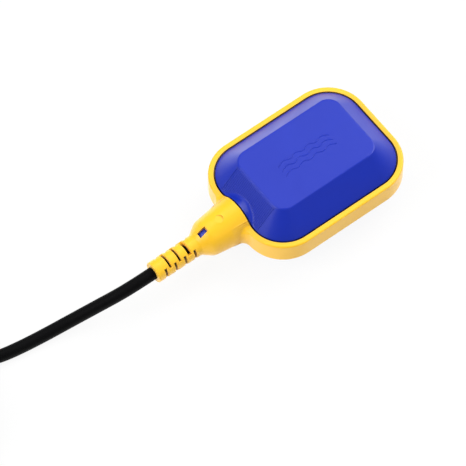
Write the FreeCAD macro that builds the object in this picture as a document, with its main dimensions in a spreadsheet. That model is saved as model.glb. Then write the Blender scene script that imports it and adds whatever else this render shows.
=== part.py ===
import FreeCAD, Part
import math
import os
import re
import Sketcher
from FreeCAD import Rotation, Vector

# Float level switch: two blue half-shells held in a yellow guard frame, with a ball-driven
# switch capsule inside and a three-core cable leaving through the frame's neck.
# Every piece is drawn about the split plane of the shells, with +X along the cable axis
# towards the nose, and its Placement lifts it so that the lower plateau lies at Z = 0.

doc = FreeCAD.newDocument("float_level_switch")

# ---------------------------------------------------------------- driving dimensions
# alias: (value in millimetres, degrees or a count, what it measures)
SIZES = {
    "body_length": (96.3, "length of the blue outline where it meets the frame"),
    "body_width": (70.5, "width of the blue outline"),
    "body_corner": (20.1, "corner radius of the blue outline"),
    "plateau_length": (70.8, "length of the flat top and bottom faces"),
    "plateau_width": (45.3, "width of the flat faces"),
    "plateau_corner": (8.0, "corner radius of the flat faces"),
    "plateau_edge": (1.0, "rounding between a flat face and its slopes"),
    "mid_height": (21.2, "split plane above the lower flat face"),
    "wall": (2.3, "shell wall under the flat faces"),
    "side_wall": (3.0, "shell wall at the sides, measured level"),
    "flange_width": (2.2, "shell flange that the frame grips"),
    "flange_height": (2.0, "thickness of each shell's flange"),
    "tongue_width": (1.2, "locating tongue between the two shells"),
    "tongue_height": (1.4, "height of the locating tongue"),
    "fit_gap": (0.05, "clearance between seated pieces"),
    "ring_half": (7.2, "half height of the frame's ring"),
    "ring_width": (4.2, "width of the ring seen from above, with its shadow gap"),
    "ring_edge": (1.0, "rounding of the ring's outer edges"),
    "shadow_gap": (1.0, "open gap between shell and frame"),
    "gap_web": (0.5, "web between that gap and the flange's groove"),
    "neck_front": (14.15, "neck radius where it meets the shells"),
    "neck_shoulder": (11.0, "neck radius at its shoulder"),
    "shoulder_behind": (24.05, "the neck's shoulder behind the shells"),
    "foot_behind": (30.45, "foot of the shoulder behind the shells"),
    "neck_rounding": (6.0, "rounding of the shoulder"),
    "foot_rounding": (2.0, "rounding at the shoulder's foot"),
    "neck_blend": (5.5, "rounding between the ring and the neck"),
    "fairing_fall": (3.5, "fall in radius of the shell's fairing, from the neck to the flat face"),
    "fairing_blend": (2.8, "rounding between the shell's slope and that fairing"),
    "boot_radius": (6.5, "outer radius of the strain relief"),
    "boot_end_behind": (60.35, "end of the strain relief behind the shells"),
    "boot_edge": (0.6, "rounding of the strain relief's end"),
    "slot_pitch": (6.75, "pitch of the strain relief's slots"),
    "slot_width": (1.4, "width of a slot"),
    "slot_mouth": (0.5, "chamfer at the mouth of a slot"),
    "slot_wide": (2.2, "width of the first top slot"),
    "side_slots_behind": (34.55, "first side slot behind the shells"),
    "top_slots_behind": (37.95, "first top slot behind the shells"),
    "side_slot_angle": (96.0, "angle that a side slot spans"),
    "top_slot_angle": (110.0, "angle that a top slot spans"),
    "window_behind": (25.5, "window centre behind the shells"),
    "window_length": (5.3, "window along the neck"),
    "window_width": (3.6, "window across the neck"),
    "mark_behind": (13.85, "ejector mark behind the shells"),
    "mark_radius": (2.5, "radius of the ejector mark"),
    "mark_depth": (0.35, "depth of the ejector mark"),
    "neck_rib_length": (11.0, "length of the fine ribs on the neck"),
    "neck_rib_angle": (4.8, "angle from one neck rib to the next"),
    "neck_rib_count": (19, "fine ribs on each side of the neck"),
    "rib_height": (0.3, "height of the fine ribs"),
    "rib_width": (0.5, "width of the fine ribs"),
    "rib_pitch": (1.2, "pitch of the fine ribs on the shell"),
    "rib_count": (29, "fine ribs across the shell's cable end"),
    "rib_run_in": (0.6, "length over which a rib rises from its surface"),
    "neck_wall": (2.4, "wall of the neck round the shells' stem"),
    "stem_taper_behind": (23.85, "start of the stem's taper behind the shells"),
    "stem_tip_inset": (0.6, "stem's tip inside the strain relief's outer radius"),
    "stem_end_behind": (28.85, "tip of the stem behind the shells"),
    "stem_bore": (6.6, "bore of the stem round the seal"),
    "stem_bore_behind": (21.85, "end of that bore behind the shells"),
    "post_radius": (3.0, "posts that hold the capsule"),
    "post_across": (14.0, "posts off the centre line"),
    "post_along": (14.0, "posts ahead of and behind the centre"),
    "cable_radius": (3.8, "outer radius of the cable"),
    "sheath_start_at": (34.2, "end of the cable's sheath inside the body"),
    "seal_length": (7.5, "length of the cable seal"),
    "seal_groove": (0.8, "depth and width of the seal's grooves"),
    "washer_thickness": (1.5, "washer in front of the seal"),
    "clamp_rear_at": (40.0, "rear face of the cable clamp"),
    "clamp_length": (5.5, "clamp along the cable"),
    "clamp_half_width": (10.5, "half width of the clamp and its saddle"),
    "clamp_height": (6.2, "top of the clamp above the cable axis"),
    "saddle_depth": (15.4, "reach of the saddle below the cable axis"),
    "saddle_gap": (0.3, "gap between clamp and saddle"),
    "clamp_screw_across": (7.2, "clamp screws off the centre line"),
    "capsule_rear_at": (29.5, "rear face of the capsule behind the centre"),
    "capsule_screw_in": (3.4, "capsule screws in from its walls"),
    "capsule_wall": (1.6, "capsule wall"),
    "capsule_half_width": (18.6, "half width of the capsule"),
    "capsule_corner": (3.0, "corner radius of the capsule"),
    "lid_thickness": (1.8, "capsule lid"),
    "screw_post": (3.2, "radius of the capsule's screw posts"),
    "rail_thickness": (1.2, "rails on each side of the ball"),
    "rail_start": (9.0, "start of the rails ahead of the centre"),
    "rail_height": (5.0, "height of the rails"),
    "ball_radius": (9.0, "steel ball"),
    "ball_gap": (0.3, "running clearance round the ball"),
    "ball_travel": (10.0, "travel of the ball along its track"),
    "switch_rear_at": (19.0, "rear face of the switch behind the centre"),
    "switch_depth": (15.9, "switch from its terminals to its front face"),
    "switch_half_width": (13.9, "half width of the switch"),
    "switch_half_height": (5.15, "half thickness of the switch"),
    "switch_wall": (1.4, "wall of the switch case"),
    "switch_cover_thickness": (1.2, "cover of the switch case"),
    "switch_hole": (1.55, "mounting holes of the switch"),
    "switch_boss": (2.3, "bosses round the mounting holes"),
    "switch_hole_in": (2.8, "mounting holes ahead of the rear face"),
    "switch_hole_across": (11.1, "mounting holes off the centre line"),
    "pivot_ahead": (1.2, "lever pivot ahead of the switch's front face"),
    "pivot_across": (11.0, "lever pivot off the centre line"),
    "pin_radius": (0.55, "lever pin"),
    "pin_half_length": (4.3, "half length of the lever pin"),
    "pin_clearance": (0.05, "running clearance round the lever pin"),
    "eye_radius": (1.05, "eye of the lever round its pin"),
    "ear_radius": (1.5, "ears that carry the pin"),
    "ear_thickness": (1.4, "thickness of an ear"),
    "ear_inside": (2.6, "inner face of an ear off the switch's mid-plane"),
    "lever_thickness": (0.4, "lever strip"),
    "lever_half_width": (2.2, "half width of the lever strip"),
    "lever_length": (23.0, "lever from its pivot to its tip"),
    "lever_free": (18.0, "lever angle when free"),
    "lever_pressed": (2.0, "lever angle when pressed"),
    "plunger_arm": (5.0, "plunger from the lever's pivot"),
    "plunger_half_width": (1.2, "half width of the plunger"),
    "plunger_half_height": (1.5, "half height of the plunger"),
    "plunger_tip": (1.15, "rounding of the plunger's tip"),
    "moving_gap": (0.15, "clearance between the switch's moving pieces"),
    "blade_at": (7.5, "contact blade ahead of the switch's rear face"),
    "blade_pivot_across": (5.0, "blade pivot off the centre line"),
    "blade_end": (8.8, "blade end off the centre line, on the other side"),
    "blade_thickness": (0.4, "contact blade"),
    "blade_half_height": (1.5, "half height of the contact blade"),
    "blade_roll": (0.6, "rolled end on which the contact blade turns"),
    "contact_across": (8.1, "contact points off the centre line"),
    "contact_radius": (0.6, "contact points"),
    "contact_gap": (1.85, "travel left open for the blade's tip"),
    "contact_length": (0.5, "height of a contact point"),
    "tab_reach": (6.3, "terminal tabs behind the switch"),
    "tab_thickness": (0.8, "terminal tabs"),
    "tab_half_height": (2.4, "half height of the tabs"),
    "open_tab_across": (5.0, "normally open tab off the centre line"),
    "arm_lift": (2.9, "closed contact's strip below the mid-plane"),
    "receptacle_length": (6.4, "push-on receptacles"),
    "receptacle_wall": (0.6, "wall of a receptacle"),
    "core_radius": (1.1, "insulated cores"),
    "core_pitch": (1.75, "core centres off the cable's axis"),
    "core_lead": (2.6, "straight run of a core at each of its ends"),
    "core_hole": (12.6, "width of the wire opening in the capsule"),
    "core_hole_half": (3.0, "half height of the wire opening"),
    "screw_radius": (1.25, "shank of the small screws"),
    "screw_head": (2.5, "head radius of the small screws"),
    "screw_head_height": (1.6, "head height of the small screws"),
    "screw_length": (8.0, "shank length of the small screws"),
    "switch_screw_length": (13.5, "shank length of the switch's screws"),
    "coil_across": (82.0, "cable coil, from middle to middle of its turns"),
    "coil_base": (1.05, "height of the coil's underside on its ties"),
    "tie_thickness": (1.0, "strap round the coil"),
    "tie_half_width": (4.0, "half width of the strap"),
    "tail_core_radius": (1.1, "stripped cores at the free end"),
    "tinned_radius": (0.6, "tinned wire ends"),
    "tinned_length": (8.0, "length of the tinned ends"),
}

# Places behind the body's centre that follow the body's length.
FOLLOWING = {
    "neck_shoulder_at": "body_length / 2 + shoulder_behind",
    "neck_foot_at": "body_length / 2 + foot_behind",
    "boot_end_at": "body_length / 2 + boot_end_behind",
    "side_slots_at": "body_length / 2 + side_slots_behind",
    "top_slots_at": "body_length / 2 + top_slots_behind",
    "window_at": "body_length / 2 + window_behind",
    "mark_at": "body_length / 2 + mark_behind",
    "stem_taper_at": "body_length / 2 + stem_taper_behind",
    "stem_end_at": "body_length / 2 + stem_end_behind",
    "stem_bore_end_at": "body_length / 2 + stem_bore_behind",
}

# Route of the free cable from the strain relief to the coil, chosen by hand (X, Y, Z above the floor).
CABLE_ROUTE = [
    (-108.5, 0.0, 21.2),
    (-119.5, 0.0, 21.2),
    (-131.0, 1.6, 18.6),
    (-143.5, 5.6, 12.8),
    (-158.1, 9.7, 7.1),
    (-173.4, 12.4, 4.2),
    (-189.0, 14.3, 3.8),
    (-204.2, 16.9, 3.8),
    (-217.5, 22.4, 3.8),
    (-229.1, 31.2, 4.1),
    (-238.7, 39.6, 4.6),
    (-245.8, 46.6, 5.0),
]
COIL_CENTRE = (-277.5, 14.9)
# Free end of the cable, from the coil's widest turn down to the floor.
END_ROUTE = [
    (-277.5, 63.5, 11.5),
    (-290.5, 63.9, 10.1),
    (-303.0, 65.4, 6.2),
    (-315.5, 66.8, 3.8),
    (-328.0, 66.8, 3.8),
]
# Stripped cores beyond the sheath's end: back, across and up from the cable's axis there.
TAIL_ROUTES = {
    "tail_brown": [(0, 1.65, 0.95), (-6, 1.65, 0.95), (-13, 2.9, -0.8), (-21, 4.8, -2.5), (-29, 6.6, -2.7)],
    "tail_blue": [(0, -1.65, 0.95), (-6.5, -1.65, 0.95), (-14, -3.6, -1),
                  (-22.5, -7.8, -2.6), (-31, -13.6, -2.7)],
    "tail_black": [(0, 0, -1.9), (-8, 0, -1.9), (-17, 0.5, -2.6), (-27, -0.5, -2.7), (-37, -0.3, -2.7)],
}

TINY = 1e-3  # millimetres, for telling edges and faces apart

sizes = doc.addObject("Spreadsheet::Sheet", "Sizes")
for row, (alias, (number, meaning)) in enumerate(SIZES.items(), 1):
    sizes.set("A%d" % row, alias)
    sizes.set("B%d" % row, str(number))
    sizes.set("C%d" % row, meaning)
    sizes.setAlias("B%d" % row, alias)
for row, (alias, formula) in enumerate(FOLLOWING.items(), len(SIZES) + 1):
    sizes.set("A%d" % row, alias)
    sizes.set("B%d" % row, "=" + formula)
    sizes.setAlias("B%d" % row, alias)
doc.recompute()


def bound(text):
    """An expression with each of its names pointed at that name's cell in the sheet."""
    names = {**SIZES, **FOLLOWING}
    return re.sub(r"[a-z_]+", lambda word: ("Sizes." if word[0] in names else "") + word[0], text)


def value(text):
    """The number that an expression gives now."""
    return float(sizes.evalExpression(bound(text)))


# ---------------------------------------------------------------- drawing helpers
def new_body(label, turn=0, about=Vector(0, 0, 1)):
    """An empty body lifted to the split plane, turned about one of its axes if asked."""
    body = doc.addObject("PartDesign::Body", label)
    body.Label = label
    body.AllowCompound = True
    body.Placement.Rotation = Rotation(about, turn)
    body.setExpression(".Placement.Base.z", bound("mid_height"))
    return body


def datum(body, role):
    """A body's own origin plane or axis."""
    return next(item for item in body.Origin.OriginFeatures if item.Role == role)


def new_sketch(body, plane, lift="0", right="0", up="0", turn="0"):
    """A sketch on an origin plane, moved along its normal and own axes, or turned about the first of them."""
    sketch = body.newObject("Sketcher::SketchObject", "Sketch")
    sketch.AttachmentSupport = [(datum(body, plane), "")]
    sketch.MapMode = "FlatFace"
    if turn != "0":
        sketch.AttachmentOffset.Rotation = Rotation(Vector(1, 0, 0), value(turn))
        sketch.setExpression(".AttachmentOffset.Rotation.Angle", bound(turn))
    for axis, text in (("x", right), ("y", up), ("z", lift)):
        if text != "0":
            sketch.setExpression(".AttachmentOffset.Base." + axis, bound(text))
    return sketch


def hold(sketch, kind, place, text):
    """A dimension bound to the sheet."""
    index = sketch.addConstraint(Sketcher.Constraint(kind, *place, value(text)))
    sketch.setExpression("Constraints[%d]" % index, bound(text))


def hold_point(sketch, geometry, end, x, y):
    """A point kept at bound distances from the sketch's origin."""
    for kind, text, axis in (("DistanceX", x, -2), ("DistanceY", y, -1)):
        if text == "0":
            sketch.addConstraint(Sketcher.Constraint("PointOnObject", geometry, end, axis))
        else:
            hold(sketch, kind, (-1, 1, geometry, end), text)


def polygon(sketch, corners):
    """A closed run of straight lines with every corner bound to the sheet."""
    points = [Vector(value(x), value(y), 0) for x, y in corners]
    first = sketch.GeometryCount
    for here, there in zip(points, points[1:] + points[:1]):
        sketch.addGeometry(Part.LineSegment(here, there))
    for count, (x, y) in enumerate(corners):
        before = first + (count - 1) % len(corners)
        sketch.addConstraint(Sketcher.Constraint("Coincident", before, 2, first + count, 1))
        hold_point(sketch, first + count, 1, x, y)


def rectangle(sketch, left, right, low, high):
    polygon(sketch, [(left, low), (right, low), (right, high), (left, high)])


def circle(sketch, x, y, radius):
    index = sketch.addGeometry(Part.Circle(Vector(value(x), value(y), 0), Vector(0, 0, 1), value(radius)))
    hold_point(sketch, index, 3, x, y)
    hold(sketch, "Radius", (index,), radius)


def outline(sketch, length, width, corner, middle="0"):
    """A rectangle with round corners, symmetric across and centred at middle along X."""
    a, b, r, mid = value(length) / 2, value(width) / 2, value(corner), value(middle)
    ends = [(a - r, -b), (a, -b + r), (a, b - r), (a - r, b),
            (-a + r, b), (-a, b - r), (-a, -b + r), (-a + r, -b)]
    points = [Vector(mid + x, y, 0) for x, y in ends]
    centres = [(a - r, -b + r), (a - r, b - r), (-a + r, b - r), (-a + r, -b + r)]
    first = sketch.GeometryCount
    for turn, (x, y) in enumerate(centres):
        round_corner = Part.Circle(Vector(mid + x, y, 0), Vector(0, 0, 1), r)
        sweep = (turn - 1) * math.pi / 2
        sketch.addGeometry(Part.ArcOfCircle(round_corner, sweep, sweep + math.pi / 2))
        sketch.addGeometry(Part.LineSegment(points[2 * turn + 1], points[(2 * turn + 2) % 8]))
    for count in range(4):
        arc, line, next_arc = first + 2 * count, first + 2 * count + 1, first + (2 * count + 2) % 8
        sketch.addConstraint(Sketcher.Constraint("Tangent", arc, 2, line, 1))
        sketch.addConstraint(Sketcher.Constraint("Tangent", line, 2, next_arc, 1))
        sketch.addConstraint(Sketcher.Constraint("Horizontal" if count % 2 else "Vertical", line))
        if count:
            sketch.addConstraint(Sketcher.Constraint("Equal", first, arc))
    hold(sketch, "Radius", (first,), corner)
    hold(sketch, "DistanceX", (-1, 1, first + 1, 1), "%s + (%s) / 2" % (middle, length))
    hold(sketch, "DistanceX", (-1, 1, first + 5, 1), "%s - (%s) / 2" % (middle, length))
    hold(sketch, "DistanceY", (-1, 1, first + 3, 1), "(%s) / 2" % width)
    hold(sketch, "DistanceY", (-1, 1, first + 7, 1), "-(%s) / 2" % width)


def extrude(body, kind, sketch, length, symmetric=False, upwards=True):
    """A Pad or a Pocket of a sketch, along the sketch's normal unless told otherwise."""
    feature = body.newObject("PartDesign::" + kind, kind)
    feature.Profile = sketch
    feature.SideType = "Symmetric" if symmetric else "One side"
    feature.setExpression("Length", bound(length))
    feature.Reversed = upwards == (kind == "Pocket")
    return feature


def spin(body, kind, sketch, angle="360", symmetric=False, axis="H_Axis"):
    """A Revolution or a Groove of a sketch about one of the sketch's own axes."""
    feature = body.newObject("PartDesign::" + kind, kind)
    feature.Profile = sketch
    feature.ReferenceAxis = (sketch, [axis])
    feature.setExpression("Angle", bound(angle))
    feature.Midplane = symmetric
    return feature


def block(body, kind, along, across, height):
    """A rectangular Pad or Pocket between three pairs of bound coordinates."""
    sketch = new_sketch(body, "XY_Plane", lift=height[0])
    rectangle(sketch, *along, *across)
    return extrude(body, kind, sketch, "(%s) - (%s)" % (height[1], height[0]))


def repeat_along(body, feature, axis, count, pitch):
    pattern = body.newObject("PartDesign::LinearPattern", "LinearPattern")
    pattern.Originals = [feature]
    pattern.Direction = (datum(body, axis), [""])
    pattern.Mode = "Spacing"
    pattern.setExpression("Offset", bound(pitch))
    pattern.setExpression("Occurrences", bound(count))
    body.Tip = pattern
    return pattern


def repeat_about(body, feature, axis, count, angle):
    pattern = body.newObject("PartDesign::PolarPattern", "PolarPattern")
    pattern.Originals = [feature]
    pattern.Axis = (datum(body, axis), [""])
    pattern.Mode = "Spacing"
    pattern.setExpression("Offset", bound(angle))
    pattern.setExpression("Occurrences", bound(count))
    body.Tip = pattern
    return pattern


def round_edges(body, radius, chosen):
    """A fillet on the edges of the body's last feature that the test chooses."""
    doc.recompute()
    base = body.Tip
    names = ["Edge%d" % (n + 1) for n, edge in enumerate(base.Shape.Edges) if chosen(edge)]
    feature = body.newObject("PartDesign::Fillet", "Fillet")
    feature.Base = (base, names)
    feature.setExpression("Radius", bound(radius))
    return feature


def level_edge(height):
    """A test for edges that lie level at one height."""
    where = value(height)
    return lambda edge: all(abs(vertex.Z - where) < TINY for vertex in edge.Vertexes)


def hoop(along):
    """A test for full circles round the cable axis at one place along it."""
    place = value(along)
    return lambda edge: (isinstance(edge.Curve, Part.Circle) and abs(edge.Curve.Center.x - place) < TINY
                         and abs(edge.Curve.Axis.x) > 1 - TINY)


def on_cone(low, high, radius):
    """A test for edges on a cone about the cable axis, strictly between two places along it."""
    rear, front = value(low) + TINY, value(high) - TINY

    def chosen(edge):
        start, end = edge.ParameterRange
        points = [edge.valueAt(start + share * (end - start)) for share in (0.1, 0.5, 0.9)]
        return all(
            rear < point.x < front
            and abs(math.hypot(point.y, point.z) - value(radius("%.6f" % -point.x))) < TINY
            for point in points
        )

    return chosen


# ---------------------------------------------------------------- shells
BODY_REAR = "-body_length / 2"
SLOPE_RUN = "(body_length - plateau_length) / 2"
SLOPE_RISE = "(mid_height - ring_half)"
NECK_FRONT_AT = "(body_length / 2 + shadow_gap)"
CAPSULE_TOP = "(ball_radius + 2 * ball_gap + lid_thickness)"
STEM_RADIUS = "(neck_shoulder - neck_wall)"
STEM_TIP = "(boot_radius - stem_tip_inset)"


def on_slope(run, lift="0"):
    """A point on the cable end's slope, run ahead of its foot and lifted above it."""
    return BODY_REAR + " + " + run, "ring_half + (%s) * %s / (%s) + %s" % (run, SLOPE_RISE, SLOPE_RUN, lift)


def cone_foot(radius):
    """Half width of a cone where it leaves the height of the ring's top."""
    return "sqrt(pow(%s; 2) - pow(ring_half; 2))" % radius


STRAIGHT_HALF = "(body_width / 2 - body_corner)"


def fairing_radius(back):
    """Radius of a shell's fairing over the neck at a distance behind the body's centre."""
    return "(neck_front - rib_height - fairing_fall * (body_length / 2 - (%s)) / (%s))" % (back, SLOPE_RUN)


def shell(label, lower):
    """One half-shell, drawn with its flat face up: skirt, slopes, flange, stem and inner posts."""
    body = new_body(label, turn=180 if lower else 0, about=Vector(1, 0, 0))
    foot = new_sketch(body, "XY_Plane")
    outline(foot, "body_length", "body_width", "body_corner")
    extrude(body, "Pad", foot, "ring_half")
    slope_foot = new_sketch(body, "XY_Plane", lift="ring_half")
    outline(slope_foot, "body_length", "body_width", "body_corner")
    plateau = new_sketch(body, "XY_Plane", lift="mid_height")
    outline(plateau, "plateau_length", "plateau_width", "plateau_corner")
    slopes = body.newObject("PartDesign::AdditiveLoft", "Slopes")
    slopes.Profile = slope_foot
    slopes.Sections = [plateau]
    slopes.Ruled = True
    round_edges(body, "plateau_edge", level_edge("mid_height"))
    flange = new_sketch(body, "XY_Plane")
    grow = " + 2 * flange_width"
    outline(flange, "body_length" + grow, "body_width" + grow, "body_corner + flange_width")
    extrude(body, "Pad", flange, "flange_height")

    # Fairing over the neck's front, and the stem that reaches back inside the frame's neck.
    stem = new_sketch(body, "XY_Plane")
    corners = [
        (BODY_REAR + " + " + SLOPE_RUN, "0"),
        (BODY_REAR + " + " + SLOPE_RUN, fairing_radius("plateau_length / 2")),
        (BODY_REAR, fairing_radius("body_length / 2")),
        (BODY_REAR, STEM_RADIUS),
        ("-stem_taper_at", STEM_RADIUS),
        ("-stem_end_at", STEM_TIP),
        ("-stem_end_at", "0"),
    ]
    polygon(stem, corners)
    spin(body, "Revolution", stem, "180")
    room = "0.9 * (%s - %s)" % (STRAIGHT_HALF, cone_foot(fairing_radius("body_length / 2")))
    round_edges(body, "min(fairing_blend; %s)" % room,
                on_cone(BODY_REAR, BODY_REAR + " + " + SLOPE_RUN, fairing_radius))

    # Fine grip ribs up the slope at the cable end.
    rib = new_sketch(body, "XZ_Plane", lift="rib_pitch * (rib_count - 1) / 2")
    corners = [
        on_slope("rib_run_in"),
        on_slope("2 * rib_run_in", "rib_height"),
        on_slope(SLOPE_RUN + " - 2 * rib_run_in", "rib_height"),
        on_slope(SLOPE_RUN + " - rib_run_in"),
        on_slope(SLOPE_RUN + " - rib_run_in", "-wall / 2"),
        on_slope("2 * rib_run_in", "-wall / 2"),
    ]
    polygon(rib, corners)
    first_rib = extrude(body, "Pad", rib, "rib_width", symmetric=True)
    repeat_along(body, first_rib, "Y_Axis", "rib_count", "rib_pitch")

    # Hollow inside, open at the split plane.
    shrink = " - 2 * side_wall"
    mouth = new_sketch(body, "XY_Plane")
    outline(mouth, "body_length" + shrink, "body_width" + shrink, "body_corner - side_wall")
    extrude(body, "Pocket", mouth, "ring_half")
    inner_foot = new_sketch(body, "XY_Plane", lift="ring_half")
    outline(inner_foot, "body_length" + shrink, "body_width" + shrink, "body_corner - side_wall")
    ceiling = new_sketch(body, "XY_Plane", lift="mid_height - wall")
    outline(ceiling, "plateau_length - wall", "plateau_width - wall", "plateau_corner - wall / 2")
    hollow = body.newObject("PartDesign::SubtractiveLoft", "Hollow")
    hollow.Profile = inner_foot
    hollow.Sections = [ceiling]
    hollow.Ruled = True

    # Tongue on the upper shell, and its groove in the lower one.
    joint = new_sketch(body, "XY_Plane")
    for grow in ("tongue_width", "-tongue_width"):
        play = "" if not lower else (" + 2 * fit_gap" if grow[0] != "-" else " - 2 * fit_gap")
        edge = " - side_wall + " + grow + play
        outline(joint, "body_length" + edge, "body_width" + edge, "body_corner + (%s) / 2" % edge[1:])
    if lower:
        extrude(body, "Pocket", joint, "tongue_height + fit_gap")
    else:
        extrude(body, "Pad", joint, "tongue_height", upwards=False)

    # Posts down to the capsule.
    posts = new_sketch(body, "XY_Plane", lift=CAPSULE_TOP + " + fit_gap")
    for along in ("", "-"):
        for across in ("", "-"):
            circle(posts, along + "post_along", across + "post_across", "post_radius")
    extrude(body, "Pad", posts, "mid_height - wall / 2 - " + CAPSULE_TOP)
    if lower:
        block(
            body, "Pad", ("-clamp_rear_at", "-clamp_rear_at + clamp_length"),
            ("-clamp_half_width", "clamp_half_width"), ("saddle_gap / 2", "saddle_depth"),
        )

    # Passage for the cable and its seal.
    passage = new_sketch(body, "XY_Plane")
    mouth_at = BODY_REAR + " + side_wall + 1"
    corners = [
        ("-sheath_start_at + 1", "0"),
        ("-sheath_start_at + 1", "cable_radius + fit_gap"),
        (mouth_at, "cable_radius + fit_gap"),
        (mouth_at, "stem_bore"),
        ("-stem_bore_end_at", "stem_bore"),
        ("-stem_bore_end_at", "cable_radius + fit_gap"),
        ("-stem_end_at - 1", "cable_radius + fit_gap"),
        ("-stem_end_at - 1", "0"),
    ]
    polygon(passage, corners)
    spin(body, "Groove", passage)
    if lower:
        holes = new_sketch(body, "XY_Plane")
        for side in ("", "-"):
            circle(holes, CLAMP_MIDDLE, side + "clamp_screw_across", "screw_radius + fit_gap")
        extrude(body, "Pocket", holes, "screw_length")
    return body


# ---------------------------------------------------------------- guard frame
def neck_radius(back):
    """Radius of the neck's straight taper at a distance behind the body's centre."""
    fall = "(neck_front - neck_shoulder) / (neck_shoulder_at - %s)" % NECK_FRONT_AT
    return "(neck_front - ((%s) - %s) * %s)" % (back, NECK_FRONT_AT, fall)


def strain_slot(body, plane, side, back, width, angle, count):
    """A row of slots cut down to the cable, each with a chamfered mouth, on one side of the relief."""
    sketch = new_sketch(body, plane)
    half = "(%s) / 2" % width
    steps = [
        (half, "cable_radius + fit_gap / 2"),
        (half, "boot_radius - slot_mouth"),
        (half + " + slot_mouth", "boot_radius"),
        (half + " + slot_mouth", "boot_radius + slot_mouth"),
    ]
    corners = [("-(%s) + %s" % (back, wide), side + "(%s)" % height) for wide, height in steps]
    corners += [("-(%s) - (%s)" % (back, wide), side + "(%s)" % height) for wide, height in reversed(steps)]
    polygon(sketch, corners)
    slot = spin(body, "Groove", sketch, angle, symmetric=True)
    if count > 1:
        pattern = repeat_along(body, slot, "X_Axis", str(count), "slot_pitch")
        pattern.Reversed = True


def guard_frame():
    """The yellow guard: ring, bottle-shaped neck and slotted strain relief, moulded as one."""
    body = new_body("guard_frame")
    ring = new_sketch(body, "XY_Plane")
    grow = " + 2 * ring_width"
    outline(ring, "body_length" + grow, "body_width" + grow, "body_corner + ring_width")
    extrude(body, "Pad", ring, "2 * ring_half", symmetric=True)
    top, bottom = level_edge("ring_half"), level_edge("-ring_half")
    round_edges(body, "ring_edge", lambda edge: top(edge) or bottom(edge))
    neck = new_sketch(body, "XY_Plane")
    corners = [
        (BODY_REAR, "0"),
        (BODY_REAR, neck_radius("body_length / 2")),
        ("-neck_shoulder_at", "neck_shoulder"),
        ("-neck_foot_at", "boot_radius"),
        ("-boot_end_at", "boot_radius"),
        ("-boot_end_at", "0"),
    ]
    polygon(neck, corners)
    spin(body, "Revolution", neck)
    for radius, back in (("neck_rounding", "neck_shoulder_at"), ("foot_rounding", "neck_foot_at"),
                         ("boot_edge", "boot_end_at")):
        round_edges(body, radius, hoop("-" + back))
    at_ring = neck_radius("body_length / 2 + ring_width")
    foot = cone_foot(at_ring)
    room = "0.95 * (%s - %s) * %s / (%s - ring_half)" % (STRAIGHT_HALF, foot, foot, at_ring)
    round_edges(body, "min(neck_blend; %s)" % room,
                on_cone(BODY_REAR + " - ring_width - fit_gap", BODY_REAR, neck_radius))

    # Window that shows the shells' stem, and the ejector mark.
    block(
        body, "Pocket", ("-window_at - window_length / 2", "-window_at + window_length / 2"),
        ("-window_width / 2", "window_width / 2"), ("-neck_front", "neck_front"),
    )
    mark = new_sketch(body, "XY_Plane", lift=neck_radius("mark_at") + " - mark_depth")
    circle(mark, "-mark_at", "0", "mark_radius")
    extrude(body, "Pocket", mark, "neck_front")

    # Fine ribs over the front of the neck, above and below.
    for side in ("", "-"):
        rib = new_sketch(body, "XZ_Plane", turn="(neck_rib_count - 1) / 2 * neck_rib_angle")
        tail_at = NECK_FRONT_AT + " + neck_rib_length"
        corners = [
            ("-" + NECK_FRONT_AT, side + "(%s + rib_height)" % neck_radius(NECK_FRONT_AT)),
            ("-(%s)" % tail_at, side + "(%s)" % neck_radius(tail_at)),
            ("-(%s)" % tail_at, side + "(%s - 1)" % neck_radius(tail_at)),
            ("-" + NECK_FRONT_AT, side + "(%s - 1)" % neck_radius(NECK_FRONT_AT)),
        ]
        polygon(rib, corners)
        first_rib = extrude(body, "Pad", rib, "rib_width", symmetric=True)
        repeat_about(body, first_rib, "X_Axis", "neck_rib_count", "neck_rib_angle")

    # Opening for the shells, with the shadow gap and the groove for their flange.
    hole = new_sketch(body, "XY_Plane")
    outline(hole, "body_length + 2 * fit_gap", "body_width + 2 * fit_gap", "body_corner + fit_gap")
    extrude(body, "Pocket", hole, "2 * (ring_half + 1)", symmetric=True)
    grow = " + 2 * shadow_gap"
    for upwards in (True, False):
        gap = new_sketch(body, "XY_Plane", lift=("" if upwards else "-") + "(flange_height + gap_web)")
        outline(gap, "body_length" + grow, "body_width" + grow, "body_corner + shadow_gap")
        extrude(body, "Pocket", gap, "neck_front", upwards=upwards)
    groove = new_sketch(body, "XY_Plane")
    grow = " + 2 * (flange_width + fit_gap)"
    outline(groove, "body_length" + grow, "body_width" + grow, "body_corner + flange_width + fit_gap")
    extrude(body, "Pocket", groove, "2 * (flange_height + fit_gap)", symmetric=True)

    # Bore round the stem, then round the cable.
    bore = new_sketch(body, "XY_Plane")
    corners = [
        (BODY_REAR + " + 1", "0"),
        (BODY_REAR + " + 1", STEM_RADIUS + " + fit_gap"),
        ("-stem_taper_at", STEM_RADIUS + " + fit_gap"),
        ("-stem_end_at - fit_gap", STEM_TIP + " + fit_gap"),
        ("-stem_end_at - fit_gap", "cable_radius + fit_gap"),
        ("-boot_end_at - 1", "cable_radius + fit_gap"),
        ("-boot_end_at - 1", "0"),
    ]
    polygon(bore, corners)
    spin(body, "Groove", bore)

    # Slots of the strain relief, staggered so that it bends every way.
    for side in ("", "-"):
        strain_slot(body, "XZ_Plane", side, "top_slots_at", "slot_wide", "top_slot_angle", 1)
        strain_slot(body, "XZ_Plane", side, "top_slots_at + slot_pitch", "slot_width", "top_slot_angle", 2)
        strain_slot(body, "XY_Plane", side, "side_slots_at", "slot_width", "side_slot_angle", 4)
    return body


# ---------------------------------------------------------------- cable entry
CLAMP_MIDDLE = "(clamp_length / 2 - clamp_rear_at)"
SEAL_FRONT = "(-stem_bore_end_at + seal_length)"


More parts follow.
